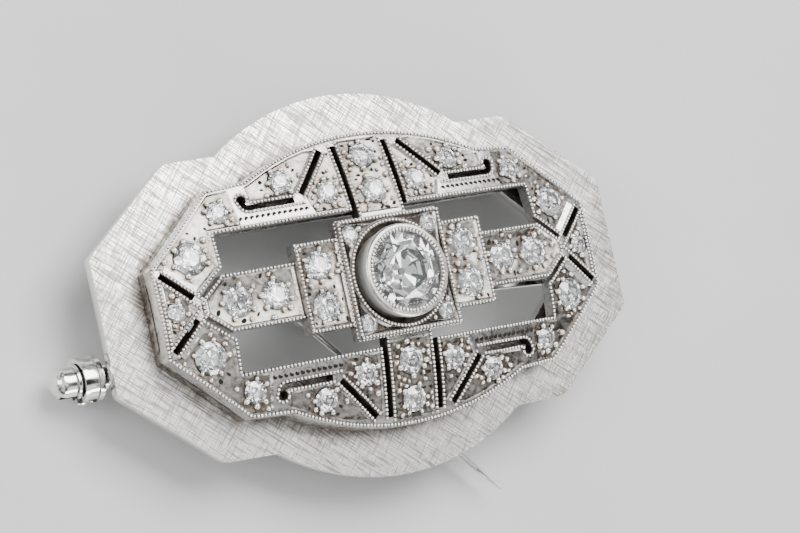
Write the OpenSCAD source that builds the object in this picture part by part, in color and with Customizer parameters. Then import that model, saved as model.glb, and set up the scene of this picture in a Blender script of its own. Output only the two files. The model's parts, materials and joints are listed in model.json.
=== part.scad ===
// Plaque brooch: a brushed base plate, a domed pierced panel with a stepped cross,
// thirty-five old-cut stones, and a swinging pin with a turning safety catch.
// Millimetres. The origin is the centre of the base plate's back plane, the face
// points along +Z and the long side along +X.

/* [Base plate] */
// Half of the plate's length
plate_half_l = 20.3; // [20.1:0.05:20.5]
// Half of the straight end edges
plate_end_half = 4.6; // [4.3:0.1:4.9]
// Where each end chamfer meets a shoulder
shoulder = [13.6, 10.05];
// Where each shoulder meets a crown
notch = [9.6, 10.12];
// Height of the top and bottom crowns
plate_crown = 13.15; // [13.05:0.05:13.4]
// Thickness of the plate
plate_t = 0.8; // [0.7:0.05:0.9]

/* [Pierced panel] */
// Half of the panel's length
panel_half_l = 17.15; // [17.1:0.01:17.2]
// Where each end chamfer starts and ends
panel_end = [17.15, 3];
panel_shoulder = [12.1, 7.6];
// Where each shoulder meets a crown
panel_notch = [9.1, 7.8];
// Height of the panel's crowns
panel_crown = 10; // [9.9:0.05:10.1]
// Thickness of the sheet
panel_t = 0.9; // [0.85:0.05:0.95]
// Rise of the dome's top above the plate
dome_rise = 3.85; // [3.8:0.05:3.9]
// Radius of the dome along the length, and across it
dome_r = [81.5, 28.5];
// Width of the saw lines
saw_w = 0.38; // [0.34:0.01:0.4]
// Depth of the sunk cells that hold the stones
cell_sink = 0.15; // [0.1:0.01:0.2]
// Height of the slit between the panel and its rail
slit_h = 0.2; // [0.16:0.01:0.24]

/* [Stepped cross] */
// Half of the square centre block
block_half = 4; // [3.95:0.01:4.05]
// Height of the centre block's top above the plate
block_rise = 4.1; // [4.05:0.05:4.2]
// Far end and half width of each step block
step_size = [7.3, 3];
// Height of the step blocks' tops above the plate
step_rise = 3.7; // [3.65:0.05:3.75]
// Thickness of the blocks
block_t = 1.1; // [1.05:0.01:1.15]
// Tip and half width of each arm
arm_size = [14.3, 1.9];
// Radius of the well round the collet
well_r = 3.45; // [3.4:0.01:3.5]
// Outer radius of the collet's rim and its height above the plate
collet_r = 3.15; // [3.1:0.01:3.2]
collet_rise = 5.2; // [5.15:0.05:5.25]

/* [Pin and catch] */
// Centre of the pin's pivot
pivot = [-3.72, -0.6];
// Depth of the pin behind the plate's back
pin_depth = 1.7; // [1.65:0.01:1.75]
// Radius of the pin's wire, a little under its radius at the heel
wire_r = 0.25; // [0.24:0.01:0.26]
// Length of the pin from its eye to its point
pin_l = 19.1; // [18.9:0.05:19.2]
// Direction of the open pin
pin_angle = -47.4; // [-48:0.1:-47]
// Centre of the catch, across the brooch
catch_y = -2.9; // [-2.95:0.01:-2.85]
// Radius of the turning collar
collar_r = 1.4; // [1.35:0.01:1.45]

/* [Hidden] */

silver = "#d9d5cd";
shade = "#bdb8ae";
stone_tint = "#eef2f4";

plate_top = plate_t;
dome_top = plate_top + dome_rise;
block_top = plate_top + block_rise;
step_top = plate_top + step_rise;
collet_top = plate_top + collet_rise;

// The arms are bent to a long radius of their own, a little below the dome
arm_r = 125;
arm_rise = 3.45;
arm_top = plate_top + arm_rise;
arm_shoulder = [12.55, 1.9];
arm_tip_half = 0.46;

// The opening in the base plate
hole_half = [14.3, 4.75];
hole_cut = [12.1, 2.7];

// The opening in the panel, which the cross fills in part
window = [12.38, 4.65];
window_corner_y = 2.4;
window_tip_half = 0.83;
bar_half = 1.8;
bar_slot_end = 9.3;
rim_w = 0.24;

// One quadrant's saw lines: a limb of the X, the diagonal, and the hooked line with its drilled end
cross_saw = [[14.75, 0.72], [16.65, 2.58]];
diagonal_saw = [[5.52, 6.3], [3.03, 9.1]];
hook_y = 6;
hook_x = [6.1, 9.4];
hook_bend_r = 0.42;
hook_eye = [9.78, 6.55];
hook_eye_r = 0.33;

// Insides of the cells that have square or pointed ends
arm_cell_shoulder_x = 12.45;
arm_cell_tip = [13.9, 0.45];
bar_cell_gap = 0.35;
bar_cell_l = 5.25;

// The centre block's ledge, and the collet that stands on it
ledge_t = 0.3;
ledge_hole_r = 2.45;
collet_bore = 2.6;
collet_foot_w = 0.35;
collet_foot_h = 0.5;
collet_lip = 0.16;
collet_girdle_depth = 0.5;
collet_edge = [0.1, 0.08];

// Depth of a stone's girdle below the metal round it, and of the centre stone below the rim
stone_sink = 0.12;
centre_sink = 0.5;

// The rail under the panel's edge
rail_inset = 0.02;
rail_w = 0.6;

// Small clearances
seat_gap = 0.03;
turn_gap = 0.05;

// Pin eye, its rivet and its base
heel_r = 1.25;
eye_r = 1.56;
eye_t = 0.5;
heel_wire_r = 0.27;
heel_l = 3;
taper_l = 0.7;
post_r = 0.9;
head_r = 1.45;
head_t = 0.35;
base_r = 1.5;
bar_r = 0.26;
bar_flat = 0.45;
bar_half_l = 15.6;
bar_mid_y = -1.05;
bar_tilt = -3.3;
point_l = 2.4;

// Safety catch, along X
barrel_x = [-21.9, -19.85];
barrel_r = 0.95;
barrel_bore = 0.64;
collar_x = [-21.8, -20.4];
rim_r = 1.52;
rim_t = 0.32;
cap_x = -23.6;
cap_r = 1.02;
cap_round = 0.8;
cap_bore = 0.5;
cap_floor = 0.35;
slot_w = 0.8;
lever_angle = 48;
lever_ball = 0.42;
bracket_t = 0.5;
bracket_lap = 0.4;
bracket_reach = 1;
bracket_low = -1.2;
flange_r = 1.2;
flange_t = 0.2;

// Stones: name, [x, y], radius, and the surface that each one sits in
quadrant_stones = [["kite_stone", [14.3, 3.3], 1.1], ["shoulder_stone", [11.6, 6.02], 0.78],
    ["eye_stone", [6.65, 7.38], 0.82], ["triangle_stone", [3.5, 6.2], 0.82]];
quadrants = [["upper_left", [-1, 1]], ["upper_right", [1, 1]],
    ["lower_left", [-1, -1]], ["lower_right", [1, -1]]];
sides = [["left", -1], ["right", 1]];
STONES = concat(
    [for (q = quadrants, s = quadrant_stones)
        [str(q[0], "_", s[0]), [q[1].x * s[1].x, q[1].y * s[1].y], s[2], "dome"]],
    [for (q = quadrants)
        [str(q[0], "_corner_stone"), [3.12 * q[1].x, 3 * q[1].y], 0.64, "block"]],
    [for (s = sides) [str(s[0], "_end_stone"), [16.02 * s[1], 0], 0.68, "dome"]],
    [for (s = sides) [str(s[0], "_outer_arm_stone"), [11.75 * s[1], 0], 1.05, "arm"]],
    [for (s = sides) [str(s[0], "_inner_arm_stone"), [9.0 * s[1], 0], 1, "arm"]],
    [for (s = sides) [str(s[0], "_upper_step_stone"), [5.72 * s[1], 1.4], 1, "step"]],
    [for (s = sides) [str(s[0], "_lower_step_stone"), [5.72 * s[1], -1.4], 1, "step"]],
    [["top_outer_stone", [0, 8.4], 0.9, "dome"], ["top_inner_stone", [0, 5.85], 0.95, "dome"],
     ["bottom_inner_stone", [0, -5.85], 0.95, "dome"], ["bottom_outer_stone", [0, -8.4], 0.9, "dome"],
     ["centre_diamond", [0, 0], 2.72, "collet"]]);

// ---- surfaces ----

function dome_z(p) = dome_top - p.x * p.x / (2 * dome_r.x) - p.y * p.y / (2 * dome_r.y);
function arm_z(p) = arm_top - p.x * p.x / (2 * arm_r);
function surface_z(p, kind) = kind == "dome" ? dome_z(p)
    : kind == "arm" ? arm_z(p)
    : kind == "step" ? step_top
    : kind == "block" ? block_top
    : collet_top - centre_sink + stone_sink;
function lean(p, kind) = kind == "dome" ? [atan(p.x / dome_r.x), atan(p.y / dome_r.y)]
    : kind == "arm" ? [atan(p.x / arm_r), 0]
    : [0, 0];

// Everything under the dome, moved along its normal by d
module under_dome(d) {
    minor = dome_r.y;
    major = dome_r.x - dome_r.y;
    translate([0, 0, dome_top - dome_r.x])
        rotate(-120, [1, 1, 1])
            rotate([0, 0, -14])
                rotate_extrude(angle = 28, $fn = 720)
                    intersection() {
                        translate([major, 0]) circle(r = minor + d, $fn = 360);
                        translate([dome_r.x - 7, -12]) square([10, 24]);
                    }
}

// Everything under the arms' own curve, moved by d
module under_arms(d) {
    translate([0, 12, arm_top - arm_r])
        rotate([90, 0, 0])
            cylinder(r = arm_r + d, h = 24, $fn = 720);
}

// A domed sheet with the outline of its children, from depth b up to depth a
module domed(a, b) {
    difference() {
        intersection() {
            linear_extrude(10) children();
            under_dome(-a);
        }
        under_dome(-b);
    }
}

// ---- outlines ----

// A closed outline from one corner chain, mirrored into all four quadrants
function four_way(pts) = let (back = [for (i = [len(pts) - 1:-1:0]) pts[i]])
    concat(pts, [for (p = back) [-p.x, p.y]], [for (p = pts) [-p.x, -p.y]],
        [for (p = back) [p.x, -p.y]]);

// The crown arcs that stand above and below an outline, cut off at |x| = half
module crowns(half, side_y, crown) {
    sag = crown - side_y;
    r = (half * half + sag * sag) / (2 * sag);
    intersection() {
        translate([0, crown - r]) circle(r = r, $fn = 360);
        translate([0, r - crown]) circle(r = r, $fn = 360);
        square([2 * half, 4 * crown], center = true);
    }
}

// A corner b between a and c, eased into a short curve that starts d before it
function eased(a, b, c, d) = let (p = b + d * (a - b) / norm(a - b), q = b + d * (c - b) / norm(c - b))
    [for (t = [0:0.25:1]) (1 - t) * (1 - t) * p + 2 * t * (1 - t) * b + t * t * q];

module plate_outline() {
    end = [plate_half_l, plate_end_half];
    polygon(four_way(concat(eased([plate_half_l, 0], end, shoulder, 0.3), eased(end, shoulder, notch, 0.6),
        [notch])));
    crowns(notch.x, notch.y, plate_crown);
}

module panel_outline() {
    polygon(four_way([[panel_half_l, panel_end.y], panel_shoulder, panel_notch]));
    crowns(panel_notch.x, panel_notch.y, panel_crown);
}

module stroke(a, b, w) {
    d = b - a;
    translate(a) rotate(atan2(d.y, d.x)) translate([0, -w / 2]) square([norm(d), w]);
}

// One quadrant's saw lines: the X, the bar's side, the diagonal and the hooked line
module quadrant_saw_lines() {
    stroke(cross_saw[0], cross_saw[1], saw_w);
    translate([bar_half, window.y - 0.1]) square([saw_w, bar_slot_end - window.y + 0.1]);
    stroke(diagonal_saw[0], diagonal_saw[1], saw_w);
    translate([hook_x[0], hook_y - saw_w / 2]) square([hook_x[1] - hook_x[0], saw_w]);
    translate([hook_x[1], hook_y + hook_bend_r])
        intersection() {
            difference() {
                circle(r = hook_bend_r + saw_w / 2, $fn = 48);
                circle(r = hook_bend_r - saw_w / 2, $fn = 48);
            }
            translate([0, -1]) square([1, 1.1]);
        }
    translate(hook_eye) circle(r = hook_eye_r, $fn = 48);
}

// One quadrant's sunk cells, each inside its own rim
module quadrant_cells() {
    edge = window.x + rim_w;
    polygon([[edge, window_corner_y + 0.11], [14.46, 1.02], [16.4, 2.88], [16.82, 2.95], [11.98, 7.32],
        [10.5, 7.42], [10.42, 5.9], [10.3, 4.9], [edge, 4.9]]);
    polygon([[2.4, 8.9], [2.4, 4.9], [4.85, 4.9], [5.17, 5.95], [5.17, 6.1], [2.68, 8.9]]);
    polygon([[5.95, 6.4], [9.2, 6.4], [9.3, 7.45], [8.9, 7.58], [7.5, 8.23], [5.5, 8.93], [4.2, 9.25],
        [3.45, 9.2]]);
}

// The end cell, between the two saw lines of the X and the second milled row
module end_cell() {
    polygon([[15, 0.35], [16.55, 1.88], [16.55, -1.88], [15, -0.35]]);
}

module bar_cell() {
    translate([-bar_half + rim_w, block_half + bar_cell_gap]) square([2 * (bar_half - rim_w), bar_cell_l]);
}

module all_quadrants() {
    for (i = [0, 1], j = [0, 1])
        mirror([i, 0]) mirror([0, j]) children();
}

module both_ends() {
    for (i = [0, 1])
        mirror([i, 0]) children();
}

module window_outline() {
    difference() {
        polygon(four_way([[arm_size.x, window_tip_half], [window.x, window_corner_y], window]));
        for (j = [0, 1])
            mirror([0, j])
                translate([-bar_half, block_half]) square([2 * bar_half, 2]);
    }
}

module seats(kind, extra) {
    for (s = STONES)
        if (s[3] == kind)
            translate([s[1].x, s[1].y, plate_top - 1]) cylinder(r = s[2] + extra, h = 9, $fn = 48);
}

// ---- metalwork ----

module base_plate() {
    color(silver)
        linear_extrude(plate_t)
            difference() {
                plate_outline();
                polygon(four_way([[hole_half.x, hole_cut.y], [hole_cut.x, hole_half.y]]));
            }
}

module gallery_rail() {
    color(shade)
        difference() {
            intersection() {
                translate([0, 0, plate_top])
                    linear_extrude(4)
                        difference() {
                            offset(delta = -rail_inset) panel_outline();
                            offset(delta = -rail_inset - rail_w) panel_outline();
                        }
                under_dome(-panel_t);
            }
            difference() {
                rail_slit_windows();
                under_dome(-panel_t - slit_h);
            }
        }
}

// The slit runs along each straight or curved side and stops short of the corners
module rail_slit_windows() {
    translate([0, 0, plate_top + 0.4])
        linear_extrude(3) {
            square([40, 4.4], center = true);
            square([12, 24], center = true);
            all_quadrants()
                translate((panel_end + panel_shoulder) / 2)
                    rotate(-42.4)
                        square([4.6, 3], center = true);
        }
}

module pierced_panel() {
    color(silver)
        difference() {
            domed(0, panel_t)
                difference() {
                    panel_outline();
                    window_outline();
                    all_quadrants() quadrant_saw_lines();
                }
            difference() {
                translate([0, 0, plate_top])
                    linear_extrude(6) {
                        all_quadrants() quadrant_cells();
                        both_ends() end_cell();
                        for (j = [0, 1])
                            mirror([0, j]) bar_cell();
                    }
                under_dome(-cell_sink);
            }
            seats("dome", seat_gap);
        }
}

// An arm from its step block to its tip at the crossing, made for the +X side
module arm() {
    color(silver)
        difference() {
            intersection() {
                linear_extrude(10)
                    polygon([[step_size.x, arm_size.y], arm_shoulder, [arm_size.x, arm_tip_half],
                        [arm_size.x, -arm_tip_half], [arm_shoulder.x, -arm_shoulder.y],
                        [step_size.x, -arm_size.y]]);
                under_arms(0);
            }
            under_arms(-panel_t);
            difference() {
                linear_extrude(10)
                    polygon([[step_size.x + 0.1, arm_size.y - rim_w], [arm_cell_shoulder_x, arm_size.y - rim_w],
                        arm_cell_tip, [arm_cell_tip.x, -arm_cell_tip.y],
                        [arm_cell_shoulder_x, rim_w - arm_size.y], [step_size.x + 0.1, rim_w - arm_size.y]]);
                under_arms(-cell_sink);
            }
            seats("arm", seat_gap);
        }
}

module left_arm() { mirror([1, 0, 0]) arm(); }
module right_arm() { arm(); }

// A step block between the centre block and an arm, made for the +X side
module step_block() {
    l = step_size.x - block_half;
    color(silver)
        difference() {
            translate([block_half, -step_size.y, step_top - block_t])
                cube([l, 2 * step_size.y, block_t]);
            translate([block_half - 1, rim_w - step_size.y, step_top - cell_sink])
                cube([l + 1 - rim_w, 2 * (step_size.y - rim_w), 1]);
            seats("step", seat_gap);
        }
}

module left_step_block() { mirror([1, 0, 0]) step_block(); }
module right_step_block() { step_block(); }

// The centre block: a square with a round well, a ledge for the collet and four sunk corners
module centre_block() {
    color(silver)
        difference() {
            translate([-block_half, -block_half, block_top - block_t])
                cube([2 * block_half, 2 * block_half, block_t]);
            translate([0, 0, block_top - block_t + ledge_t]) cylinder(r = well_r, h = 3, $fn = 96);
            translate([0, 0, block_top - 2 * block_t]) cylinder(r = ledge_hole_r, h = 3, $fn = 96);
            difference() {
                translate([rim_w - block_half, rim_w - block_half, block_top - cell_sink])
                    cube([2 * (block_half - rim_w), 2 * (block_half - rim_w), 1]);
                cylinder(r = well_r + 0.3, h = 10, $fn = 96);
            }
            seats("block", seat_gap);
        }
}

// The collet: a tube with a seat for the stone's girdle and a rubbed-over rim
module centre_collet() {
    foot_z = block_top - block_t + ledge_t;
    girdle_z = collet_top - collet_girdle_depth;
    foot_r = collet_bore + collet_foot_w;
    seat_r = collet_bore + collet_lip;
    color(silver)
        rotate_extrude($fn = 96)
            polygon([[collet_bore, foot_z], [foot_r, foot_z], [foot_r, foot_z + collet_foot_h],
                [collet_r, girdle_z], [collet_r, collet_top - collet_edge.y],
                [collet_r - collet_edge.x, collet_top], [collet_bore + 0.05, collet_top],
                [seat_r, girdle_z + 0.14], [seat_r, girdle_z - 0.1], [collet_bore, girdle_z - 0.24]]);
}

// ---- stones ----

// An old-cut brilliant of girdle radius r, girdle plane at z = 0: rings of points from
// the table down to the small culet, joined by triangles
function ring(n, r, z, turn) = [for (i = [0:n - 1]) [r * cos(360 * (i + turn) / n), r * sin(360 * (i + turn) / n), z]];

module brilliant(r) {
    table_r = 0.52 * r;
    mid_r = 0.76 * r;
    crown_h = 0.33 * r;
    mid_z = 0.19 * r;
    girdle_h = 0.025 * r;
    depth = 0.86 * r;
    low_r = 0.5 * r;
    low_z = -0.45 * r;
    culet_r = 0.09 * r;
    pts = concat(ring(8, table_r, crown_h, 0), ring(8, mid_r, mid_z, 0.5), ring(16, r, girdle_h, 0.5),
        ring(16, r, -girdle_h, 0.5), ring(8, low_r, low_z, 0.5), ring(8, culet_r, -depth, 0.5));
    t = 0; m = 8; g = 16; u = 32; w = 48; c = 56;
    faces = concat(
        [[for (i = [7:-1:0]) t + i]],
        [for (i = [0:7]) [t + i, t + (i + 1) % 8, m + i]],
        [for (i = [0:7]) [t + (i + 1) % 8, m + (i + 1) % 8, m + i]],
        [for (i = [0:7]) [m + i, g + (2 * i + 1) % 16, g + 2 * i]],
        [for (i = [0:7]) [m + i, g + (2 * i + 2) % 16, g + (2 * i + 1) % 16]],
        [for (i = [0:7]) [m + i, m + (i + 1) % 8, g + (2 * i + 2) % 16]],
        [for (i = [0:15]) [g + i, g + (i + 1) % 16, u + (i + 1) % 16]],
        [for (i = [0:15]) [g + i, u + (i + 1) % 16, u + i]],
        [for (i = [0:7]) [u + 2 * i, u + (2 * i + 1) % 16, w + i]],
        [for (i = [0:7]) [u + (2 * i + 1) % 16, u + (2 * i + 2) % 16, w + i]],
        [for (i = [0:7]) [u + (2 * i + 2) % 16, w + (i + 1) % 8, w + i]],
        [for (i = [0:7]) [w + i, w + (i + 1) % 8, c + (i + 1) % 8]],
        [for (i = [0:7]) [w + i, c + (i + 1) % 8, c + i]],
        [[for (i = [0:7]) c + i]]);
    polyhedron(pts, faces);
}

module stone(s) {
    tilt = lean(s[1], s[3]);
    color(stone_tint)
        translate([s[1].x, s[1].y, surface_z(s[1], s[3]) - stone_sink])
            rotate([-tilt.y, tilt.x, 0])
                rotate(11 * s[1].x + 7 * s[1].y)
                    brilliant(s[2]);
}

// ---- back: bar, pin and catch ----

module back_bar() {
    color(silver)
        intersection() {
            translate([0, bar_mid_y, -bar_flat / 2])
                rotate([0, 90, bar_tilt])
                    cylinder(r = bar_r, h = 2 * bar_half_l, center = true, $fn = 32);
            translate([-20, -5, -bar_flat]) cube([40, 10, bar_flat]);
        }
}

module pin_base() {
    top = -bar_flat;
    low = -pin_depth + eye_t / 2 + turn_gap;
    color(silver) translate([pivot.x, pivot.y, low]) cylinder(r = base_r, h = top - low, $fn = 48);
}

// The rivet's post stands on the base, and its head holds the pin's eye
module pin_rivet() {
    top = -pin_depth + eye_t / 2 + turn_gap;
    low = -pin_depth - eye_t / 2 - turn_gap;
    color(silver)
        translate([pivot.x, pivot.y, 0]) {
            translate([0, 0, low - head_t / 2]) cylinder(r = post_r, h = top - low + head_t / 2, $fn = 48);
            translate([0, 0, low - head_t]) cylinder(r = head_r, h = head_t, $fn = 48);
        }
}

// The pin: a flat eye round the rivet, and a wire that leaves it at a tangent
module pin_stem() {
    color(silver)
        translate([pivot.x, pivot.y, -pin_depth])
            difference() {
                union() {
                    cylinder(r = eye_r, h = eye_t, center = true, $fn = 96);
                    rotate(pin_angle)
                        translate([0, -heel_r, 0])
                            rotate([0, 90, 0]) {
                                cylinder(r = heel_wire_r, h = heel_l, $fn = 48);
                                translate([0, 0, heel_l])
                                    cylinder(r1 = heel_wire_r, r2 = wire_r, h = taper_l, $fn = 48);
                                translate([0, 0, heel_l + taper_l])
                                    cylinder(r = wire_r, h = pin_l - point_l - heel_l - taper_l, $fn = 48);
                                translate([0, 0, pin_l - point_l])
                                    cylinder(r1 = wire_r, r2 = 0.04, h = point_l, $fn = 48);
                            }
                }
                cylinder(r = post_r + turn_gap, h = 2, center = true, $fn = 96);
            }
}

// A ring or rod along X at the catch's centre line
module along_x(x0, x1) {
    translate([x0, catch_y, -pin_depth]) rotate([0, 90, 0]) linear_extrude(x1 - x0) children();
}

// The pin's way in, from below
module catch_slot(x0, x1, w) {
    translate([x0, catch_y - 3, -pin_depth - w / 2]) cube([x1 - x0, 3, w]);
}

module catch_barrel() {
    color(silver)
        difference() {
            along_x(barrel_x[0], barrel_x[1]) circle(r = barrel_r, $fn = 64);
            along_x(barrel_x[0] - 1, barrel_x[1] + 1) circle(r = barrel_bore, $fn = 64);
            catch_slot(barrel_x[0] - 1, barrel_x[1] + 1, slot_w);
        }
}

// The rounded cap that closes the barrel's outer end, keeps the collar on with its flange
// and covers the pin's point
module catch_end_cap() {
    l = barrel_x[0] - cap_x;
    color(silver)
        difference() {
            translate([barrel_x[0], catch_y, -pin_depth])
                rotate([0, -90, 0])
                    rotate_extrude($fn = 64)
                        intersection() {
                            square([flange_r, l]);
                            union() {
                                square([cap_r, l - cap_round]);
                                translate([cap_r - cap_round, l - cap_round]) circle(r = cap_round, $fn = 48);
                                square([cap_r - cap_round, l]);
                                square([flange_r, flange_t]);
                            }
                        }
            along_x(cap_x + cap_floor, barrel_x[0] + 1) circle(r = cap_bore, $fn = 48);
            catch_slot(cap_x + cap_floor, barrel_x[0] + 1, 2 * cap_bore - 0.2);
        }
}

// The plate that carries the barrel, with a round window. The closed pin passes below it
module catch_bracket() {
    color(silver)
        difference() {
            translate([barrel_x[1] - bracket_lap, catch_y - bracket_t / 2, bracket_low])
                cube([bracket_lap + bracket_reach, bracket_t, -bracket_low]);
            along_x(barrel_x[0], barrel_x[1]) circle(r = barrel_r, $fn = 64);
            translate([barrel_x[1] + bracket_reach / 2, catch_y + 1, bracket_low / 2])
                rotate([90, 0, 0]) cylinder(r = 0.32, h = 2, $fn = 32);
        }
}

// The collar turns on the barrel; its slot lines up with the barrel's when it is open
module catch_collar() {
    color(silver)
        difference() {
            union() {
                along_x(collar_x[0], collar_x[1]) circle(r = collar_r, $fn = 64);
                along_x(collar_x[0], collar_x[0] + rim_t) circle(r = rim_r, $fn = 64);
                along_x(collar_x[1] - rim_t, collar_x[1]) circle(r = rim_r, $fn = 64);
            }
            along_x(collar_x[0] - 1, collar_x[1] + 1) circle(r = barrel_r + turn_gap, $fn = 64);
            catch_slot(collar_x[0] - 1, collar_x[1] + 1, slot_w);
        }
}

// The thumb knob on the collar
module collar_lever() {
    mid = (collar_x[0] + collar_x[1]) / 2;
    color(silver)
        difference() {
            translate([mid, catch_y, -pin_depth])
                rotate([lever_angle, 0, 0])
                    translate([0, -collar_r - 0.3, 0])
                        sphere(r = lever_ball, $fn = 48);
            along_x(collar_x[0], collar_x[1]) circle(r = collar_r, $fn = 64);
        }
}

base_plate();
gallery_rail();
pierced_panel();
left_arm();
right_arm();
left_step_block();
right_step_block();
centre_block();
centre_collet();
back_bar();
pin_base();
pin_rivet();
pin_stem();
catch_bracket();
catch_barrel();
catch_end_cap();
catch_collar();
collar_lever();
for (s = STONES)
    stone(s);
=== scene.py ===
"""Looks, light and camera for the plaque brooch. Lengths in this file are millimetres
until a mesh, light or camera is made, when MM turns them into metres."""
import json
import math
import random

import bmesh
import bpy
from mathutils import Matrix, Vector

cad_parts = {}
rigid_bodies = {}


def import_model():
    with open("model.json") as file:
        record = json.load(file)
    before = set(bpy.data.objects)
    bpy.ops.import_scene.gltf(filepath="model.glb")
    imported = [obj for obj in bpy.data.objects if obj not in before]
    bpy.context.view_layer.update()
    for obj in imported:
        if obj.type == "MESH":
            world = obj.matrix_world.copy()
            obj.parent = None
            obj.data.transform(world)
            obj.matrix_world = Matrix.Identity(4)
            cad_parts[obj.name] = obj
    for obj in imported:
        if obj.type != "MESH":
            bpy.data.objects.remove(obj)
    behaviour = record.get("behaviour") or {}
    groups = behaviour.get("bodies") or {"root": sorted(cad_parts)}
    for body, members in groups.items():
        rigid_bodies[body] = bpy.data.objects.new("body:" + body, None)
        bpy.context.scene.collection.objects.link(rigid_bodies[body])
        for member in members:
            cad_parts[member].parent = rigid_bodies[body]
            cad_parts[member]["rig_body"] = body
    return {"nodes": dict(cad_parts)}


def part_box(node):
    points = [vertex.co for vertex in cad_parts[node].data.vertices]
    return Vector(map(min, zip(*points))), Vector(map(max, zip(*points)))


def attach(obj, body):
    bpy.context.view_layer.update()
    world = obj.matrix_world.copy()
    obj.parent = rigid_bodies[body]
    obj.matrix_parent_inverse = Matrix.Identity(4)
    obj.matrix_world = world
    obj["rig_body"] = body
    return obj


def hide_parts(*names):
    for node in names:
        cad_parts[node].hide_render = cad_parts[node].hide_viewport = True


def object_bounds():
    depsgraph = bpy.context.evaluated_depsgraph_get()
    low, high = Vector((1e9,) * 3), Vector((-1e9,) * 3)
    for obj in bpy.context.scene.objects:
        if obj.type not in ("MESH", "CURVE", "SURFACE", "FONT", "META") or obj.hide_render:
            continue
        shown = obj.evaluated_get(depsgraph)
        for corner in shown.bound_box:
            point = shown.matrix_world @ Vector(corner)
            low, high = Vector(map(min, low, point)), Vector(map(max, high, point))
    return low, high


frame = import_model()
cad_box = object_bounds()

MM = 0.001
QUADRANTS = [(1, 1), (-1, 1), (-1, -1), (1, -1)]
NODES = frame["nodes"]


def box_mm(node):
    """Lowest and highest corner of a CAD node, in millimetres."""
    low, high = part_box(node)
    return low / MM, high / MM


# ---- dimensions shared with the CAD model ----

PLATE_TOP = box_mm("base_plate")[1].z
PANEL_HALF, PANEL_CROWN, _ = box_mm("pierced_panel")[1]
PANEL_CHAIN = [(PANEL_HALF, 3), (12.1, 7.6), (9.1, 7.8)]
# The panel's dome: its top, and the two radii of the ring surface that it is a patch of
DOME_TOP = PLATE_TOP + 3.85
DOME_MAJOR, DOME_MINOR = 53, 28.5
ARM_TOP, ARM_RADIUS = PLATE_TOP + 3.45, 125
STEP_FAR, STEP_HALF, STEP_TOP = box_mm("right_step_block")[1]
BLOCK_HALF, _, BLOCK_TOP = box_mm("centre_block")[1]
WELL_R = 3.45
COLLET_R, _, COLLET_TOP = box_mm("centre_collet")[1]
WINDOW_X, WINDOW_Y, WINDOW_CORNER = 12.38, 4.65, 2.4
CROSSING_X, WINDOW_TIP, ARM_TIP = 14.3, 0.83, 0.46
ARM_HALF, ARM_SHOULDER = 1.9, 12.55
BAR_HALF, BAR_SLOT_END, SAW_W = 1.8, 9.3, 0.38
# The middle lines of the saw cuts in one quadrant
CROSS_SAW = [(14.75, 0.72), (16.65, 2.58)]
DIAGONAL_SAW = [(5.52, 6.3), (3.03, 9.1)]
HOOK_SAW = [(6.1, 6), (9.4, 6), (9.8, 6.42), (9.78, 6.8)]
BAR_SAW = [(BAR_HALF + SAW_W / 2, WINDOW_Y), (BAR_HALF + SAW_W / 2, BAR_SLOT_END)]
# The rim left round a sunk cell, and how deep a cell is sunk
RIM_W, CELL_SINK = 0.24, 0.15


# ---- surfaces: height at a point of the plan ----

def dome(x, y):
    """The panel: bent gently along X and more across it."""
    rho = DOME_MAJOR + math.sqrt(DOME_MINOR ** 2 - y * y)
    return DOME_TOP - DOME_MAJOR - DOME_MINOR + math.sqrt(rho * rho - x * x)


def arm_curve(x, y):
    """The arms of the cross: bent along X only."""
    return ARM_TOP - ARM_RADIUS + math.sqrt(ARM_RADIUS ** 2 - x * x)


def step_flat(x, y):
    return STEP_TOP


def block_flat(x, y):
    return BLOCK_TOP


# ---- plan geometry ----

ARC_STEP = 0.25


def arc(centre, radius, start, end):
    """Points of an arc, from one angle to another in degrees."""
    sweep = math.radians(end - start)
    count = max(2, round(abs(sweep) * radius / ARC_STEP))
    angles = [math.radians(start) + sweep * i / count for i in range(count + 1)]
    return [(centre[0] + radius * math.cos(a), centre[1] + radius * math.sin(a)) for a in angles]


def crown_arc(half, side_y, crown):
    """The arc over a crown, from (half, side_y) to (-half, side_y)."""
    sag = crown - side_y
    radius = (half * half + sag * sag) / (2 * sag)
    reach = math.degrees(math.asin(half / radius))
    return arc((0, crown - radius), radius, 90 - reach, 90 + reach)


def four_way(chain, side_y, crown):
    """A closed outline, anticlockwise, from one quadrant's chain and the crown over it."""
    side = chain[:-1]
    top = side + crown_arc(chain[-1][0], side_y, crown) + [(-x, y) for x, y in reversed(side)]
    return top + [(-x, -y) for x, y in top]


def shifted(path, distance, closed=False):
    """The path moved to its left by a distance, with mitred corners."""
    count = len(path)
    moved = []
    for i, here in enumerate(path):
        before = path[i - 1] if closed or i else None
        after = path[(i + 1) % count] if closed or i < count - 1 else None
        sides = [(Vector(b) - Vector(a)).normalized() for a, b in ((before, here), (here, after))
                 if a is not None and b is not None]
        normals = [Vector((-s.y, s.x)) for s in sides]
        mitre = sum(normals, Vector((0, 0))).normalized()
        moved.append(tuple(Vector(here) + mitre * distance / max(0.35, mitre.dot(normals[0]))))
    return moved


def flipped(path, quadrant):
    """The path in another quadrant."""
    return [(x * quadrant[0], y * quadrant[1]) for x, y in path]


def inside(point, outline):
    """True if the point is inside the closed outline."""
    x, y = point
    hit = False
    for (ax, ay), (bx, by) in zip(outline, outline[1:] + outline[:1]):
        if (ay > y) != (by > y) and x < ax + (y - ay) * (bx - ax) / (by - ay):
            hit = not hit
    return hit


def edge_distance(point, outline):
    """Distance from a point to the nearest side of a closed outline."""
    return line_distance(point, outline + outline[:1])


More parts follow.
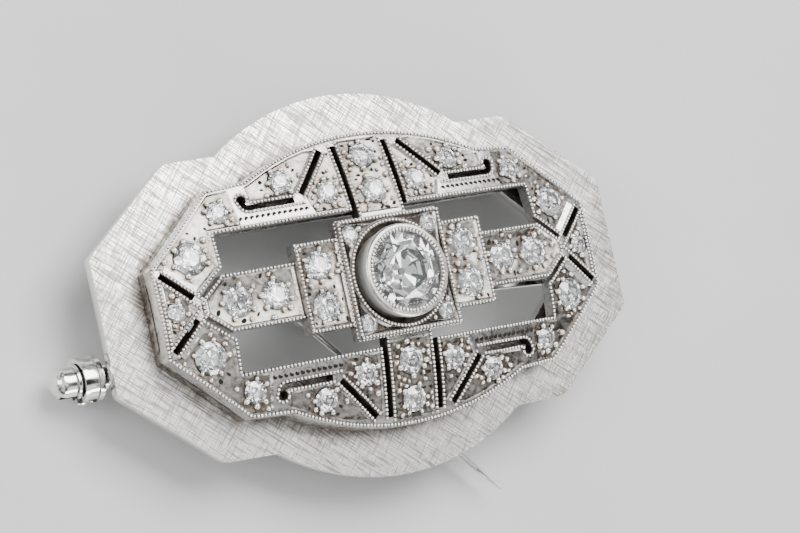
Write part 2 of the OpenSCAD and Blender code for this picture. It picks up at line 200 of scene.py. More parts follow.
def line_distance(point, path):
    """Distance from a point to an open path."""
    p = Vector(point)
    best = 1e9
    for a, b in zip(path, path[1:]):
        a, b = Vector(a), Vector(b)
        t = max(0, min(1, (p - a).dot(b - a) / (b - a).length_squared))
        best = min(best, (p - a - t * (b - a)).length)
    return best


def spaced(path, pitch, closed=False):
    """Points and directions along a path, evenly spaced between its corners."""
    ends = path + path[:1] if closed else path
    runs = [(Vector(a), Vector(b)) for a, b in zip(ends, ends[1:])]
    length = sum((b - a).length for a, b in runs)
    count = max(1, round(length / pitch))
    found = []
    travelled, i = 0.0, 0
    for a, b in runs:
        reach = (b - a).length
        while i <= count - (1 if closed else 0) and i * length / count <= travelled + reach + 1e-9:
            t = (i * length / count - travelled) / reach
            found.append((a + (b - a) * t, math.atan2(b.y - a.y, b.x - a.x)))
            i += 1
        travelled += reach
    return found


# ---- mesh helpers ----

def new_piece(name, vertices, faces, materials, body="root", smooth=True):
    """A mesh piece from points in millimetres."""
    mesh = bpy.data.meshes.new(name)
    mesh.from_pydata([tuple(c * MM for c in v) for v in vertices], [], faces)
    mesh.validate()
    mesh.polygons.foreach_set("use_smooth", [smooth] * len(mesh.polygons))
    for m in materials:
        mesh.materials.append(m)
    piece = bpy.data.objects.new(name, mesh)
    bpy.context.scene.collection.objects.link(piece)
    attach(piece, body)


class Heap:
    """Many small solids gathered into one mesh."""

    def __init__(self):
        self.vertices, self.faces = [], []

    def add(self, vertices, faces):
        base = len(self.vertices)
        self.vertices += vertices
        self.faces += [tuple(base + i for i in f) for f in faces]


def heap_piece(name, heap, material, smooth=True):
    """A heap of solids as one piece."""
    new_piece(name, heap.vertices, heap.faces, [MATERIALS[material]], smooth=smooth)


def ball_shape(subdivisions):
    """The points and faces of a unit icosphere."""
    bm = bmesh.new()
    bmesh.ops.create_icosphere(bm, subdivisions=subdivisions, radius=1)
    shape = [v.co.copy() for v in bm.verts], [tuple(v.index for v in f.verts) for f in bm.faces]
    bm.free()
    return shape


BEAD = ball_shape(2)
GRAIN = ball_shape(3)


def add_ball(heap, shape, centre, size, turn=0.0):
    """An ellipsoid of half sizes (along, across, up), turned about Z."""
    c, s = math.cos(turn), math.sin(turn)
    points = []
    for p in shape[0]:
        x, y = p.x * size[0], p.y * size[1]
        points.append((centre[0] + c * x - s * y, centre[1] + s * x + c * y,
                       centre[2] + p.z * size[2]))
    heap.add(points, shape[1])


# ---- camera, floor and light ----

CAMERA_PLACE = Vector((-110.8, -16.6, 184.4))
CAMERA_RIGHT = Vector((0.8398, -0.2150, 0.4986))
CAMERA_UP = Vector((0.1424, 0.9733, 0.1800))
LENS, SENSOR = 142.8, 36
FLOOR_GAP, FLOOR_HALF = 0.02, 450


def make_camera():
    """The photograph's point of view, from its place and its right and up directions."""
    right = CAMERA_RIGHT.normalized()
    back = right.cross(CAMERA_UP).normalized()
    up = back.cross(right)
    data = bpy.data.cameras.new("camera")
    data.lens, data.sensor_width = LENS, SENSOR
    data.clip_start = 0.01
    camera = bpy.data.objects.new("camera", data)
    turn = Matrix((right, up, back)).transposed().to_4x4()
    camera.matrix_world = Matrix.Translation(CAMERA_PLACE * MM) @ turn
    bpy.context.scene.collection.objects.link(camera)
    bpy.context.scene.camera = camera


def make_light(name, place, size, watts):
    """A soft rectangular light aimed at the brooch. Its size is (width, height)."""
    data = bpy.data.lights.new(name, "AREA")
    data.shape = "RECTANGLE"
    data.size, data.size_y = size[0] * MM, size[1] * MM
    data.energy = watts
    light = bpy.data.objects.new(name, data)
    light.location = Vector(place) * MM
    light.rotation_euler = Vector(place).to_track_quat("Z", "Y").to_euler()
    bpy.context.scene.collection.objects.link(light)


def make_studio():
    """A plain pale floor just under the open pin, soft surroundings and three soft lights."""
    floor_z = cad_box[0].z / MM - FLOOR_GAP
    floor = bpy.data.meshes.new("floor")
    signs = (-1, -1), (1, -1), (1, 1), (-1, 1)
    corners = [(x * FLOOR_HALF, y * FLOOR_HALF) for x, y in signs]
    floor.from_pydata([(x * MM, y * MM, floor_z * MM) for x, y in corners], [], [(0, 1, 2, 3)])
    floor.materials.append(floor_material())
    piece = bpy.data.objects.new("floor", floor)
    bpy.context.scene.collection.objects.link(piece)
    bpy.context.scene.world = studio_world()
    make_light("key", (80, 130, 250), (240, 190), 1.5)
    make_light("side", (-210, 60, 120), (120, 160), 0.35)
    make_light("low", (60, -240, 90), (200, 60), 0.5)


def set_range(node, low, high, to_low, to_high):
    """Sets what a Map Range node maps from and to."""
    ends = {"From Min": low, "From Max": high, "To Min": to_low, "To Max": to_high}
    for key, number in ends.items():
        node.inputs[key].default_value = number


def studio_world():
    """Soft grey surroundings with broad darker patches as in any room."""
    world = bpy.data.worlds.new("studio")
    world.use_nodes = True
    tree = world.node_tree
    coords = tree.nodes.new("ShaderNodeTexCoord")
    patches = tree.nodes.new("ShaderNodeTexNoise")
    patches.inputs["Scale"].default_value = 3.4
    patches.inputs["Detail"].default_value = 1.0
    ramp = tree.nodes.new("ShaderNodeMapRange")
    set_range(ramp, 0.485, 0.545, 0.02, 1.35)
    tree.links.new(coords.outputs["Generated"], patches.inputs["Vector"])
    tree.links.new(patches.outputs["Fac"], ramp.inputs["Value"])
    background = tree.nodes["Background"]
    background.inputs["Color"].default_value = (0.97, 0.985, 1.0, 1)
    tree.links.new(ramp.outputs["Result"], background.inputs["Strength"])
    return world


# ---- materials ----

class Nodes:
    """Short calls for building a material's node tree."""

    def __init__(self, name):
        self.material = bpy.data.materials.new(name)
        self.material.use_nodes = True
        self.tree = self.material.node_tree
        self.shader = self.tree.nodes["Principled BSDF"]

    def link(self, source, target):
        self.tree.links.new(source, target)

    def set(self, **values):
        for key, value in values.items():
            self.shader.inputs[key.replace("_", " ")].default_value = value

    def place(self):
        """Object coordinates in millimetres."""
        coords = self.tree.nodes.new("ShaderNodeTexCoord")
        scale = self.tree.nodes.new("ShaderNodeVectorMath")
        scale.operation = "SCALE"
        scale.inputs["Scale"].default_value = 1 / MM
        self.link(coords.outputs["Object"], scale.inputs[0])
        return scale.outputs[0]

    def mapped(self, vector, scale=(1, 1, 1), turn=0.0):
        node = self.tree.nodes.new("ShaderNodeMapping")
        node.vector_type = "TEXTURE"
        node.inputs["Rotation"].default_value = (0, 0, math.radians(turn))
        node.inputs["Scale"].default_value = scale
        self.link(vector, node.inputs["Vector"])
        return node.outputs["Vector"]

    def noise(self, vector, scale, detail=2.0, roughness=0.5):
        node = self.tree.nodes.new("ShaderNodeTexNoise")
        node.inputs["Scale"].default_value = scale
        node.inputs["Detail"].default_value = detail
        node.inputs["Roughness"].default_value = roughness
        self.link(vector, node.inputs["Vector"])
        return node.outputs["Fac"]

    def spread(self, value, low, high, to_low=0.0, to_high=1.0):
        """The range low to high stretched to a new range, and cut off at its ends."""
        node = self.tree.nodes.new("ShaderNodeMapRange")
        self.link(value, node.inputs["Value"])
        set_range(node, low, high, to_low, to_high)
        return node.outputs["Result"]

    def maths(self, operation, a, b=None):
        node = self.tree.nodes.new("ShaderNodeMath")
        node.operation = operation
        for socket, value in zip(node.inputs, (a, b)):
            if isinstance(value, (int, float)):
                socket.default_value = value
            elif value is not None:
                self.link(value, socket)
        return node.outputs[0]

    def blend(self, factor, a, b):
        """Colour a turning to colour b."""
        node = self.tree.nodes.new("ShaderNodeMix")
        node.data_type = "RGBA"
        self.link(factor, node.inputs[0])
        for socket, value in ((node.inputs[6], a), (node.inputs[7], b)):
            if isinstance(value, tuple):
                socket.default_value = (*value, 1)
            else:
                self.link(value, socket)
        return node.outputs[2]

    def openness(self, distance):
        """How open a place is: 1 in the open, less inside corners and recesses."""
        node = self.tree.nodes.new("ShaderNodeAmbientOcclusion")
        node.samples = 6
        node.inputs["Distance"].default_value = distance * MM
        return node.outputs["AO"]

    def bump(self, height, distance, strength=1.0):
        node = self.tree.nodes.new("ShaderNodeBump")
        node.inputs["Strength"].default_value = strength
        node.inputs["Distance"].default_value = distance * MM
        self.link(height, node.inputs["Height"])
        self.link(node.outputs["Normal"], self.shader.inputs["Normal"])

    def colour(self, output):
        self.link(output, self.shader.inputs["Base Color"])

    def roughness(self, output):
        self.link(output, self.shader.inputs["Roughness"])


# Brown for painted shade in recesses, and for grime where it meets painted shade at the rail's
# foot.
SHADE_AND_GRIME_BROWN = (0.13, 0.095, 0.065)


def floor_material():
    m = Nodes("studio_floor")
    m.set(Roughness=0.55)
    grain = m.noise(m.place(), 0.05, 3)
    m.colour(m.blend(m.spread(grain, 0.3, 0.7), (0.56, 0.56, 0.555), (0.61, 0.61, 0.605)))
    return m.material


def engraved_lines(m, place, turn, size, low, high):
    """Fine hand-cut lines of a given (length, width) in one direction. The value is 1 on the
    metal and 0 in a line."""
    stretched = m.mapped(place, scale=(*size, 1), turn=turn)
    return m.spread(m.noise(stretched, 1.0, 1.5, 0.6), low, high)


def brushed_plate_material():
    """White gold engraved with two crossing sets of fine lines, with brown blotches along the
    rail's foot that are painted shade broken up by grime, and painted near-black shade where the
    panel covers it."""
    m = Nodes("cross_hatched_white_gold")
    m.set(Metallic=1.0)
    place = m.place()
    first = engraved_lines(m, place, -40, (2.2, 0.08), 0.40, 0.49)
    second = engraved_lines(m, place, 49, (1.8, 0.08), 0.39, 0.48)
    strokes = engraved_lines(m, place, -43, (1.3, 0.08), 0.28, 0.35)
    crossing_strokes = engraved_lines(m, place, 47, (1.2, 0.08), 0.25, 0.33)
    lines = m.maths("MULTIPLY", m.spread(first, 0, 1, 0.22, 1), m.spread(second, 0, 1, 0.35, 1))
    scored = m.blend(lines, (0.24, 0.21, 0.175), (0.98, 0.96, 0.93))
    deep = m.maths("MINIMUM", strokes, crossing_strokes)
    worn = m.blend(deep, (0.24, 0.185, 0.13), scored)
    grime = m.spread(m.noise(place, 1.5, 5, 0.65), 0.36, 0.62)
    # Painted shade at the rail's foot: brown where the openness near the wall is low and the grime
    # noise is low as well.
    rail_foot_shade = m.spread(m.openness(0.8), 0.5, 0.9)
    shown = m.blend(m.maths("MAXIMUM", rail_foot_shade, grime), SHADE_AND_GRIME_BROWN, worn)
    # Painted shade under the panel: near-black where the openness over 8 mm is low.
    m.colour(m.blend(m.spread(m.openness(8), 0.22, 0.46), (0.03, 0.024, 0.018), shown))
    m.roughness(m.spread(lines, 0, 1, 0.5, 0.38))
    m.bump(m.maths("MULTIPLY", lines, deep), 0.02, 0.8)
    return m.material


def polished_material():
    """Polished white gold with a few hairline scratches and worn patches, and painted brown
    shade in its recesses.
    """
    m = Nodes("polished_white_gold")
    m.set(Metallic=1.0)
    place = m.place()
    cloud = m.noise(place, 1.1, 3)
    hairs = m.noise(m.mapped(place, scale=(2.5, 0.06, 0.06), turn=24), 1, 1)
    # Painted shade: brown where the openness over 0.22 mm is low.
    painted_shade_fade = m.spread(m.openness(0.22), 0.2, 0.85)
    m.colour(m.blend(painted_shade_fade, (0.20, 0.17, 0.14), (0.80, 0.79, 0.77)))
    m.roughness(m.spread(cloud, 0.35, 0.7, 0.12, 0.24))
    m.bump(hairs, 0.002, 0.35)
    return m.material


def platinum_material(name, rough, painted_shade_fade, reach, dull, bright):
    """Hand-worked platinum, with painted brown shade in its recesses. The third argument is the
    openness at which the painted shade starts to give way and the one at which it is gone,
    measured over a reach in millimetres."""
    m = Nodes(name)
    m.set(Metallic=1.0)
    place = m.place()
    mottle = m.noise(place, 2.6, 4, 0.6)
    tool = m.noise(m.mapped(place, scale=(0.7, 0.1, 0.3), turn=-35), 1, 3)
    shade = m.blend(m.spread(mottle, 0.32, 0.68), dull, bright)
    # Painted shade: brown where the openness over the reach is low.
    m.colour(m.blend(m.spread(m.openness(reach), *painted_shade_fade), SHADE_AND_GRIME_BROWN, shade))
    m.roughness(m.spread(mottle, 0.3, 0.7, *rough))
    m.bump(m.maths("ADD", tool, mottle), 0.022, 0.6)
    return m.material


def pit_material():
    """Painted near-black shade standing for the inside of a drilled hole."""
    m = Nodes("painted_shade_pit")
    m.set(Metallic=0.1, Roughness=0.75, Specular_IOR_Level=0.15)
    cloud = m.spread(m.noise(m.place(), 5, 3), 0.3, 0.7)
    m.colour(m.blend(cloud, (0.006, 0.005, 0.004), (0.03, 0.023, 0.017)))
    return m.material


def drawn_material(name, dull, bright, rough):
    """Drawn metal with fine lines round its side or along a wire, worn to a soft grey."""
    m = Nodes(name)
    m.set(Metallic=0.85)
    rings = m.noise(m.mapped(m.place(), scale=(3, 3, 0.08)), 1, 2)
    m.colour(m.blend(m.spread(rings, 0.3, 0.7), dull, bright))
    m.roughness(m.spread(rings, 0.3, 0.7, rough, rough + 0.13))
    m.bump(rings, 0.008, 0.5)
    return m.material


def wall_shade_material():
    """Painted near-black shade on the walls of saw cuts, of the space under the panel and of the
    ledge in the round well.
    """
    m = Nodes("painted_shade_wall")
    m.set(Metallic=0.7, Roughness=0.6)
    cloud = m.spread(m.noise(m.place(), 1.5, 4), 0.35, 0.65)
    m.colour(m.blend(cloud, (0.012, 0.010, 0.008), (0.07, 0.055, 0.04)))
    return m.material


def diamond_material(name, clear, haze_rough):
    """Colourless diamond, a little hazy as if from worn facets. clear is the share of its
    look that is glass, and haze_rough its roughness where it is haziest."""
    m = Nodes(name)
    m.set(Transmission_Weight=clear, IOR=2.42)
    haze = m.noise(m.place(), 0.8, 2)
    m.roughness(m.spread(haze, 0.3, 0.7, 0.0, haze_rough))
    m.colour(m.blend(m.spread(haze, 0.4, 0.6), (0.98, 0.975, 0.96), (0.97, 0.985, 1.0)))
    return m.material


def groove_material():
    """Painted shade between the beads of a milled edge: a dark grey-brown band."""
    m = Nodes("milling_groove")
    m.set(Metallic=0.8, Roughness=0.55)
    cloud = m.spread(m.noise(m.place(), 2, 3), 0.35, 0.65)
    m.colour(m.blend(cloud, (0.05, 0.038, 0.028), (0.2, 0.17, 0.14)))
    return m.material


MATERIALS = {
    "groove": groove_material(),
    "plate": brushed_plate_material(),
    "polished": polished_material(),
    "sheet": platinum_material("bright_cut_platinum", (0.22, 0.36), (0.5, 0.95), 0.3,
                               (0.42, 0.405, 0.385), (0.62, 0.605, 0.58)),
    # Darker copy for the sunk cells' floors: painted shade, with the painted brown shade reaching
    # further.
    "cell": platinum_material("cell_floor_platinum", (0.22, 0.4), (0.62, 0.98), 0.5,
                              (0.20, 0.182, 0.16), (0.56, 0.545, 0.52)),
    # Far darker copy: painted dark reflection on the rail's outer side, painted shade on the
    # sheets' undersides.
    "rail": platinum_material("shaded_rail_platinum", (0.2, 0.42), (0.35, 0.95), 0.6,
                              (0.04, 0.032, 0.026), (0.34, 0.32, 0.30)),
    "wall": drawn_material("drawn_platinum", (0.66, 0.64, 0.61), (0.92, 0.91, 0.89), 0.42),
    "wire": drawn_material("drawn_white_gold_wire", (0.76, 0.75, 0.73), (0.96, 0.95, 0.93), 0.13),
    "cut": platinum_material("bright_cut_slope_platinum", (0.2, 0.34), (0.3, 0.8), 0.12,
                             (0.38, 0.365, 0.345), (0.66, 0.645, 0.62)),
    # Far lighter copy: painted highlight on the beads, the setting grains and the broad bright
    # cut.
    "beads": platinum_material("highlit_milled_platinum", (0.18, 0.3), (0.3, 0.8), 0.12,
                               (0.84, 0.82, 0.79), (0.97, 0.96, 0.94)),
    "wall_shade": wall_shade_material(),
    "pit": pit_material(),
    "diamond": diamond_material("old_cut_diamond", 0.94, 0.03),
    "melee": diamond_material("small_old_cut_diamond", 0.92, 0.045),
}


# ---- carried-over CAD nodes ----

def dress(node, *materials):
    """Gives a CAD node its materials."""
    mesh = NODES[node].data
    mesh.materials.clear()
    for m in materials:
        mesh.materials.append(m)


def refined(node, edge, materials, pick):
    """A copy of a CAD node with its sharp edges softened by a bevel of width edge, shown in the
    node's place. pick gives a face's material number from its centre and normal."""
    source = NODES[node]
    bm = bmesh.new()
    bm.from_mesh(source.data)
    bmesh.ops.remove_doubles(bm, verts=bm.verts, dist=0.0005 * MM)
    bmesh.ops.dissolve_limit(bm, angle_limit=math.radians(0.4), verts=bm.verts, edges=bm.edges)
    sharp = [e for e in bm.edges
             if len(e.link_faces) == 2 and e.calc_face_angle(0) > math.radians(28)]
    bmesh.ops.bevel(bm, geom=sharp, offset=edge * MM, segments=2, profile=0.6, affect="EDGES",
                    clamp_overlap=True)
    mesh = bpy.data.meshes.new(node + "_finished")
    for f in bm.faces:
        f.smooth = True
        f.material_index = pick(f.calc_center_median() / MM, f.normal)
    bm.to_mesh(mesh)
    bm.free()
    for m in materials:
        mesh.materials.append(m)
    mesh.set_sharp_from_angle(angle=math.radians(32))
    piece = bpy.data.objects.new(node + "_finished", mesh)
    bpy.context.scene.collection.objects.link(piece)
    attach(piece, source["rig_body"])
    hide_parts(node)


def floor_pick(surface):
    """Picks 1 for the floors of sunk cells and 3 for the underside, 0 for the rest."""
    def pick(centre, normal):
        if normal.z < -0.5:
            return 3
        sunk = surface(centre.x, centre.y) - centre.z > 0.6 * CELL_SINK
        return 1 if sunk and normal.z > 0.5 else 0
    return pick


def panel_pick(centre, normal):
    """As for any cell, with 2 for the walls of the saw lines as well."""
    place = abs(centre.x), abs(centre.y)
    saw_lines = CROSS_SAW, DIAGONAL_SAW, HOOK_SAW, BAR_SAW
    near = min(line_distance(place, line) for line in saw_lines)
    if abs(normal.z) < 0.6 and near < SAW_W / 2 + 0.15:
        return 2
    return floor_pick(dome)(centre, normal)


def rail_pick(centre, normal):
    """0 for the rail's outer side, 1 for its inner side and the inside of its slits."""
    outward = normal.x * centre.x * PANEL_CROWN / PANEL_HALF \
        + normal.y * centre.y * PANEL_HALF / PANEL_CROWN
    return 0 if abs(normal.z) < 0.5 and outward > 0 else 1


def block_pick(centre, normal):
    """As for any cell, with 2 for the ledge in the round well."""
    if math.hypot(centre.x, centre.y) < WELL_R + 0.02:
        return 2 if abs(normal.z) > 0.5 else 0
    return floor_pick(block_flat)(centre, normal)


def finish_metal():
    """Softened edges and materials for the sheets, and materials for the wire and the catch."""
    plate, polished = MATERIALS["plate"], MATERIALS["polished"]
    # Painted shade: the third material goes on saw-line walls and the well's ledge, and the
    # fourth, a far darker copy, on the sheets' undersides.
    sunk_sheet = [MATERIALS[k] for k in ("sheet", "cell", "wall_shade", "rail")]
    refined("base_plate", 0.07, [plate, polished],
            lambda c, n: 0 if abs(n.z) > 0.95 else 1)
    refined("pierced_panel", 0.02, sunk_sheet, panel_pick)
    refined("centre_block", 0.02, sunk_sheet, block_pick)
    for side in ("left", "right"):
        refined(side + "_arm", 0.02, sunk_sheet, floor_pick(arm_curve))
        refined(side + "_step_block", 0.02, sunk_sheet, floor_pick(step_flat))
    # Painted dark reflection on the rail's outer side, and painted shade on its inner side and
    # slits.
    refined("gallery_rail", 0.02, [MATERIALS["rail"], MATERIALS["wall_shade"]], rail_pick)
    refined("centre_collet", 0.015, [MATERIALS["sheet"], MATERIALS["wall"]],
            lambda c, n: 1 if abs(n.z) < 0.6 else 0)
    for node in ("back_bar", "pin_base", "pin_rivet", "catch_bracket", "catch_barrel",
                 "catch_end_cap", "catch_collar", "collar_lever"):
        dress(node, polished)
    dress("pin_stem", MATERIALS["wire"])


def finish_stones():
    """Diamond with flat facets for every stone."""
    for name in NODES:
        if name.endswith("_stone") or name == "centre_diamond":
            dress(name, MATERIALS["melee" if name.endswith("_stone") else "diamond"])
            facets = NODES[name].data.polygons
            facets.foreach_set("use_smooth", [False] * len(facets))


# ---- milled edges ----

BEAD_PITCH = 0.265
BEAD_SIZE = (0.108, 0.112, 0.115)
GROOVES = Heap()
GROOVE_HALF, GROOVE_LIFT = 0.11, 0.006
# How far a row's middle is from the edge that it follows, and from a saw line's middle
EDGE_INSET = 0.11
SLOT_ROW = SAW_W / 2 + EDGE_INSET
# How far a row runs on past the place where another sheet hides its end
OVERRUN = 0.1
# The rows on the block's side walls, on the collet's rim, round the well and at the panel's ends
SIDE_ROW_LIFT, SIDE_BEAD_SIZE = -0.32, (0.1, 0.09, 0.1)
RIM_ROW_INSET, RIM_BEAD_SIZE = 0.4, (0.108, 0.16, 0.13)
WELL_ROW_INSET, END_ROW_INSET = 0.13, 0.26
# The round eye at the end of a hook, and its bend
HOOK_EYE, HOOK_EYE_R = (9.78, 6.55), 0.33
HOOK_BEND, HOOK_BEND_R = (9.4, 6.42), 0.42


def add_groove(heap, path, surface, closed):
    """The narrow band of painted shade that a row of beads stands in."""
    dense = [tuple(p) for p, _ in spaced(path, 0.5, closed)] if len(path) < 12 else path
    left, right = shifted(dense, GROOVE_HALF, closed), shifted(dense, -GROOVE_HALF, closed)
    count = len(dense)
    points = [(x, y, surface(x, y) + GROOVE_LIFT) for x, y in left + right]
    last = count if closed else count - 1
    faces = [(i, count + i, count + (i + 1) % count, (i + 1) % count) for i in range(last)]
    heap.add(points, faces)


def bead_row(heap, path, surface, closed=False, lift=0.02, size=BEAD_SIZE, grooved=True):
    """A milled row along a path, its beads' middles lifted off the surface."""
    for point, turn in spaced(path, BEAD_PITCH, closed):
        place = (point.x, point.y, surface(point.x, point.y) + lift)
        add_ball(heap, BEAD, place, size, turn)
    if grooved:
        add_groove(GROOVES, path, surface, closed)


def panel_outline():
    """The panel's edge in plan."""
    return four_way(PANEL_CHAIN, PANEL_CHAIN[-1][1], PANEL_CROWN)


def quadrant_rows():
    """The milled rows of one quadrant of the panel: window, bar slot, diagonal, hook and X."""
    near_slot, far_slot = BAR_HALF - EDGE_INSET, BAR_HALF + SAW_W + EDGE_INSET
    window = [(CROSSING_X, WINDOW_TIP), (WINDOW_X, WINDOW_CORNER), (WINDOW_X, WINDOW_Y),
              (far_slot, WINDOW_Y)]
    bar_inner = [(near_slot, BLOCK_HALF + OVERRUN), (near_slot, BAR_SLOT_END + 0.2)]
    bar_outer = [(far_slot, WINDOW_Y + 0.35), (far_slot, BAR_SLOT_END)]
    limb = [(14.24, 0.22), CROSS_SAW[1]]
    low, high = HOOK_SAW[0][1] - SLOT_ROW, HOOK_SAW[0][1] + SLOT_ROW
    eye_row = HOOK_EYE_R + EDGE_INSET
    hook_low = [(5.45, low), (HOOK_BEND[0], low)] \
        + arc(HOOK_BEND, HOOK_BEND_R + SLOT_ROW, -84, -8) + arc(HOOK_EYE, eye_row, 10, 150)
    hook_high = [(6.05, high), (9.0, high)] + arc(HOOK_EYE, eye_row, 205, 165)
    return [shifted(window, -EDGE_INSET), bar_inner, bar_outer,
            shifted(DIAGONAL_SAW, SLOT_ROW), shifted(DIAGONAL_SAW, -SLOT_ROW),
            shifted(limb, SLOT_ROW), shifted(limb, -SLOT_ROW), hook_low, hook_high]


def square(half):
    """A square about the centre, anticlockwise."""
    return [(half, -half), (half, half), (-half, half), (-half, -half)]


def arm_outline():
    """The arm on the +X side, open towards its step block."""
    half = [(STEP_FAR + OVERRUN, ARM_HALF), (ARM_SHOULDER, ARM_HALF), (CROSSING_X, ARM_TIP)]
    return [(x, -y) for x, y in half] + half[::-1]


def make_milled_edges():
    """Rows of beads along every milled edge, and the grooves that they stand in."""
    panel = Heap()
    bead_row(panel, shifted(panel_outline(), EDGE_INSET, True), dome, closed=True)
    for q in QUADRANTS:
        for row in quadrant_rows():
            bead_row(panel, flipped(row, q), dome)
    for side in (1, -1):
        x = side * (PANEL_HALF - EDGE_INSET - END_ROW_INSET)
        bead_row(panel, [(x, -2.2), (x, 2.2)], dome)
    heap_piece("panel_milled_edges", panel, "beads")

    cross = Heap()
    for side in (1, -1):
        bead_row(cross, [(side * x, y) for x, y in shifted(arm_outline(), EDGE_INSET)], arm_curve)
        start, edge_x, edge_y = BLOCK_HALF + OVERRUN, STEP_FAR - EDGE_INSET, STEP_HALF - EDGE_INSET
        step = [(start, -edge_y), (edge_x, -edge_y), (edge_x, edge_y), (start, edge_y)]
        bead_row(cross, [(side * x, y) for x, y in step], step_flat)
    bead_row(cross, square(BLOCK_HALF - EDGE_INSET), block_flat, closed=True)
    bead_row(cross, square(BLOCK_HALF + 0.01), block_flat, True, SIDE_ROW_LIFT, SIDE_BEAD_SIZE,
             grooved=False)
    bead_row(cross, arc((0, 0), WELL_R + WELL_ROW_INSET, 0, 360)[:-1], block_flat, closed=True)
    heap_piece("cross_milled_edges", cross, "beads")

    rim = Heap()
    bead_row(rim, arc((0, 0), COLLET_R - RIM_ROW_INSET, 0, 360)[:-1], lambda x, y: COLLET_TOP,
             True, -0.01, RIM_BEAD_SIZE)
    heap_piece("collet_milled_rim", rim, "beads")
    heap_piece("milling_grooves", GROOVES, "groove")


# ---- cells: bright cuts, grains and drilled pits ----

def stone_places():
    """Centre and radius of every stone, from the CAD nodes."""
    found = []
    for name in NODES:
        if name.endswith("_stone"):
            low, high = box_mm(name)
            radius = (high.x - low.x + high.y - low.y) / 4
            found.append(((low.x + high.x) / 2, (low.y + high.y) / 2, radius))
    return found


def quadrant_cells():
    """One quadrant's sunk cells, as the CAD model cuts them."""
    edge = WINDOW_X + RIM_W
    end = [(edge, WINDOW_CORNER + 0.11), (14.46, 1.02), (16.4, 2.88), (16.82, 2.95),
           (11.98, 7.32), (10.5, 7.42), (10.42, 5.9), (10.3, 4.9), (edge, 4.9)]
    inner = [(2.4, 8.9), (2.4, 4.9), (4.85, 4.9), (5.17, 5.95), (5.17, 6.1), (2.68, 8.9)]
    crown = [(5.95, 6.4), (9.2, 6.4), (9.3, 7.45), (8.9, 7.58),
             (7.5, 8.23), (5.5, 8.93), (4.2, 9.25), (3.45, 9.2)]
    return [end, inner, crown]


def oriented(outline):
    """The outline, anticlockwise."""
    area = sum(a[0] * b[1] - b[0] * a[1] for a, b in zip(outline, outline[1:] + outline[:1]))
    return outline if area > 0 else outline[::-1]


def all_cells():
    """Every sunk cell with the surface that it lies in."""
    cells = []
    for q in QUADRANTS:
        cells += [(oriented(flipped(c, q)), dome) for c in quadrant_cells()]
    for side in (1, -1):
        end = [(15, 0.35), (16.55, 1.88), (16.55, -1.88), (15, -0.35)]
        cells.append((oriented([(side * x, y) for x, y in end]), dome))
        bar = [(-BAR_HALF + RIM_W, side * 4.35), (BAR_HALF - RIM_W, side * 4.35),
               (BAR_HALF - RIM_W, side * 9.6), (-BAR_HALF + RIM_W, side * 9.6)]
        cells.append((oriented(bar), dome))
        inner = ARM_HALF - RIM_W
        arm = [(7.4, inner), (12.45, inner), (13.9, 0.45),
               (13.9, -0.45), (12.45, -inner), (7.4, -inner)]
        cells.append((oriented([(side * x, y) for x, y in arm]), arm_curve))
        inner = STEP_HALF - RIM_W
        far = STEP_FAR - RIM_W
        step = [(BLOCK_HALF, -inner), (far, -inner), (far, inner), (BLOCK_HALF, inner)]
        cells.append((oriented([(side * x, y) for x, y in step]), step_flat))
    inner = BLOCK_HALF - RIM_W
    for q in QUADRANTS:
        round_side = [(x, y) for x, y in arc((0, 0), WELL_R + 0.3, 20, 70)
                      if x < inner and y < inner]
        cells.append((oriented(flipped([(inner, inner)] + round_side[::-1], q)), block_flat))
    return cells


BRIGHT_CUT_W = 0.13


def add_bright_cut(heap, outline, surface):
    """A bright sloping cut all round a cell, from its rim down to its floor."""
    inner = shifted(outline, BRIGHT_CUT_W, True)
    count = len(outline)
    top = [(x, y, surface(x, y) + 0.004) for x, y in outline]
    low = [(x, y, surface(x, y) - CELL_SINK + 0.002) for x, y in inner]
    foot = [(x, y, surface(x, y) - CELL_SINK - 0.02) for x, y in outline]
    faces = []
    for i in range(count):
        j = (i + 1) % count
        faces.append((i, j, count + j, count + i))
        faces.append((count + i, count + j, 2 * count + j, 2 * count + i))
        faces.append((2 * count + i, 2 * count + j, j, i))
    heap.add(top + low + foot, faces)


# The broad bright cut beside the X, in one quadrant: its lines at the rim and on the floor
WIDE_CUT = [(14.5, 1.06), (16.3, 2.8)], [(14.27, 1.36), (16.0, 3.1)]


def add_wide_cut(heap, top, foot):
    """A broad bright slope on the dome, from a line at the rim to a line on a cell's floor."""
    upper = [(x, y, dome(x, y) + 0.006) for x, y in top]
    lower = [(x, y, dome(x, y) - CELL_SINK + 0.004) for x, y in foot]
    under = [(x, y, dome(x, y) - CELL_SINK - 0.02) for x, y in top]
    sides = [(0, 1, 3, 2), (2, 3, 5, 4), (4, 5, 1, 0), (0, 2, 4), (1, 5, 3)]
    heap.add(upper + lower + under, sides)


def add_pit(heap, centre, radius, z, squat=1.0, turn=0.0):
    """A drilled or scooped hollow, shown by its mouth with a low lip, dark with painted shade."""
    sides = 12
    c, s = math.cos(turn), math.sin(turn)
    # Each ring's share of the radius and its height, from the lip's foot inwards
    rings = [(1.0, 0.004), (0.8, 0.014), (0.5, 0.01), (0.25, 0.006)]
    points = []
    for share, rise in rings:
        for i in range(sides):
            a = math.tau * i / sides
            along, across = radius * share * math.cos(a), radius * share * squat * math.sin(a)
            points.append((centre[0] + along * c - across * s,
                           centre[1] + along * s + across * c, z + rise))
    faces = []
    for r in range(len(rings) - 1):
        for i in range(sides):
            j = (i + 1) % sides
            faces.append((r * sides + i, r * sides + j, (r + 1) * sides + j, (r + 1) * sides + i))
    faces.append(tuple((len(rings) - 1) * sides + i for i in range(sides)))
    faces.append(tuple(reversed(range(sides))))
    heap.add(points, faces)


GRAINS_PER_STONE = 6
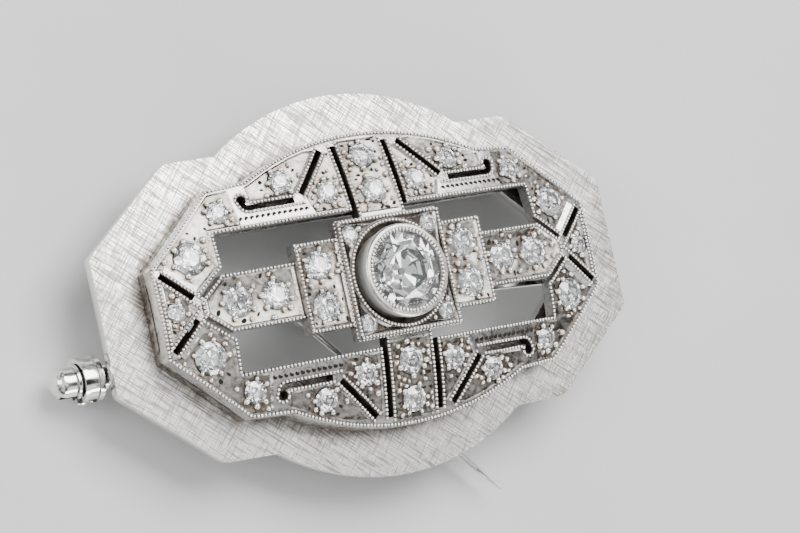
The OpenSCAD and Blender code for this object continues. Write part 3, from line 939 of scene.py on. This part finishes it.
# Random places tried for a filler in a cell of the panel and in one of the cross, how far from
# a stone a filler may lie, and the share of fillers that are grains and not pits
PANEL_TRIES, CROSS_TRIES = 220, 60
FILLER_REACH, GRAIN_SHARE = 0.75, 0.6
# The row of drilled holes in one quadrant
DRILLED_ROW, DRILL_PITCH, DRILL_R = [(5.4, 5.28), (10.2, 5.28)], 0.4, 0.165


def fill_cell(outline, surface, stones, grains, pits, rng):
    """Raised grains hold each stone, and smaller ones and pits fill what is left."""
    bevels = [spaced(flipped(WIDE_CUT[0], q), 0.2) for q in QUADRANTS]
    taken = [(point.x, point.y, 0.4) for row in bevels for point, _ in row]
    own = [s for s in stones if inside(s[:2], outline)]

    def floor(x, y):
        return surface(x, y) - CELL_SINK

    def free(x, y, r, gap):
        near_stone = any(math.hypot(x - sx, y - sy) < sr + r * gap for sx, sy, sr in own)
        crowded = any(math.hypot(x - tx, y - ty) < r + tr for tx, ty, tr in taken)
        return not near_stone and not crowded and inside((x, y), outline) \
            and edge_distance((x, y), outline) > r * 0.8

    spacing = 360 / GRAINS_PER_STONE
    for sx, sy, sr in own:
        first = rng.uniform(0, spacing)
        for k in range(GRAINS_PER_STONE):
            a = math.radians(first + spacing * k + rng.uniform(-20, 20))
            r = rng.uniform(0.16, 0.23)
            x, y = sx + (sr + 0.1) * math.cos(a), sy + (sr + 0.1) * math.sin(a)
            if free(x, y, r, 0.3):
                taken.append((x, y, r))
                squat = rng.uniform(0.75, 1)
                add_ball(grains, GRAIN, (x, y, floor(x, y) + 0.14), (r, r * squat, r * 1.1), a)
    xs, ys = [p[0] for p in outline], [p[1] for p in outline]
    for _ in range(PANEL_TRIES if surface is dome else CROSS_TRIES):
        x, y = rng.uniform(min(xs), max(xs)), rng.uniform(min(ys), max(ys))
        r = rng.uniform(0.13, 0.23)
        reach = min((math.hypot(x - sx, y - sy) - sr for sx, sy, sr in own), default=0)
        if reach < FILLER_REACH and free(x, y, r, 0.9):
            taken.append((x, y, r))
            squat, turn = rng.uniform(0.6, 1), rng.uniform(0, 3)
            if rng.random() < GRAIN_SHARE:
                add_ball(grains, GRAIN, (x, y, floor(x, y) + 0.06), (r, r * squat, r * 1.2), turn)
            else:
                add_pit(pits, (x, y), r, floor(x, y), 0.7 * squat, turn)


def make_cells():
    """Bright cuts, grains and pits in every sunk cell, and the rows of drilled holes."""
    rng = random.Random(7)
    stones = stone_places()
    cuts, bevels, grains, pits = Heap(), Heap(), Heap(), Heap()
    for outline, surface in all_cells():
        add_bright_cut(cuts, outline, surface)
        fill_cell(outline, surface, stones, grains, pits, rng)
    for q in QUADRANTS:
        add_wide_cut(bevels, flipped(WIDE_CUT[0], q), flipped(WIDE_CUT[1], q))
        for point, _ in spaced(DRILLED_ROW, DRILL_PITCH):
            x, y = flipped([tuple(point)], q)[0]
            add_pit(pits, (x, y), DRILL_R, dome(x, y))
    heap_piece("bright_cuts", cuts, "cut", smooth=False)
    # The broad bright cut and the setting grains take the lighter bead platinum: painted
    # highlight.
    heap_piece("bright_bevels", bevels, "beads", smooth=False)
    heap_piece("setting_grains", grains, "beads")
    heap_piece("drilled_pits", pits, "pit")


make_camera()
make_studio()
finish_metal()
finish_stones()
make_milled_edges()
make_cells()
